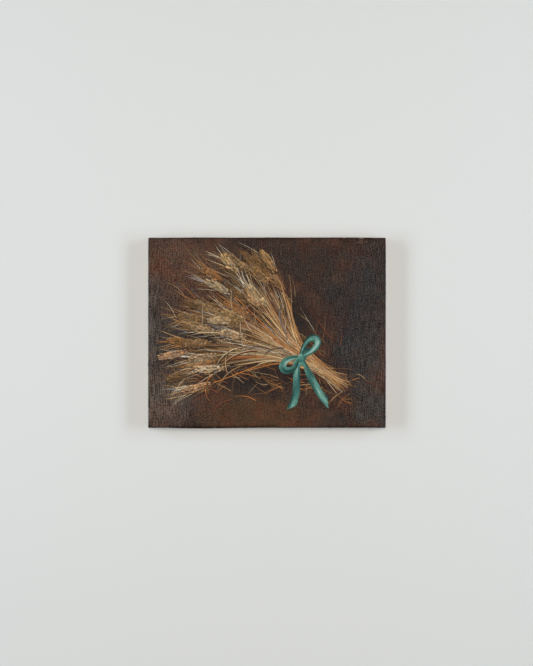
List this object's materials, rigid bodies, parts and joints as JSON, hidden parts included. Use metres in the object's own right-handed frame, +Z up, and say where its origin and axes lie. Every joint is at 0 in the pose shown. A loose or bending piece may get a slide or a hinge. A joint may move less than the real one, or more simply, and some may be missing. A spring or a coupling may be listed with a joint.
{
  "type": "painting on stretched canvas",
  "caption": "Small unframed painting on canvas stretched and stapled round mitred wooden bars, with wooden corner keys and a sawtooth hanger on the back.",
  "frame": {"origin": "middle of the sawtooth hanger's rear face, which lies against the wall", "axes": "+X to the right along the canvas's width, +Y into the wall, +Z up; the painted face looks towards -Y"},
  "size_m": [0.254, 0.0216, 0.2032],
  "materials": {
    "painted_canvas": "oil paint on primed canvas, satin",
    "pine": "planed, bare",
    "beech_key": "sawn, bare",
    "zinc_steel": "zinc plated",
    "staple_steel": "drawn wire, bright"
  },
  "bodies": {
    "root": {"canvas": "painted_canvas", "stretcher_bar_top": "pine", "stretcher_bar_right": "pine", "stretcher_bar_bottom": "pine", "stretcher_bar_left": "pine", "corner_key_top_left_upright": "beech_key", "corner_key_top_left_level": "beech_key", "corner_key_top_right_upright": "beech_key", "corner_key_top_right_level": "beech_key", "corner_key_bottom_left_upright": "beech_key", "corner_key_bottom_left_level": "beech_key", "corner_key_bottom_right_upright": "beech_key", "corner_key_bottom_right_level": "beech_key", "sawtooth_hanger": "zinc_steel", "hanger_pin_left": "zinc_steel", "hanger_pin_right": "zinc_steel", "staple_top_1": "staple_steel", "staple_top_2": "staple_steel", "staple_top_3": "staple_steel", "staple_top_4": "staple_steel", "staple_top_5": "staple_steel", "staple_top_6": "staple_steel", "staple_right_1": "staple_steel", "staple_right_2": "staple_steel", "staple_right_3": "staple_steel", "staple_right_4": "staple_steel", "staple_right_5": "staple_steel", "staple_bottom_1": "staple_steel", "staple_bottom_2": "staple_steel", "staple_bottom_3": "staple_steel", "staple_bottom_4": "staple_steel", "staple_bottom_5": "staple_steel", "staple_bottom_6": "staple_steel", "staple_left_1": "staple_steel", "staple_left_2": "staple_steel", "staple_left_3": "staple_steel", "staple_left_4": "staple_steel", "staple_left_5": "staple_steel"}
  },
  "joints": []
}
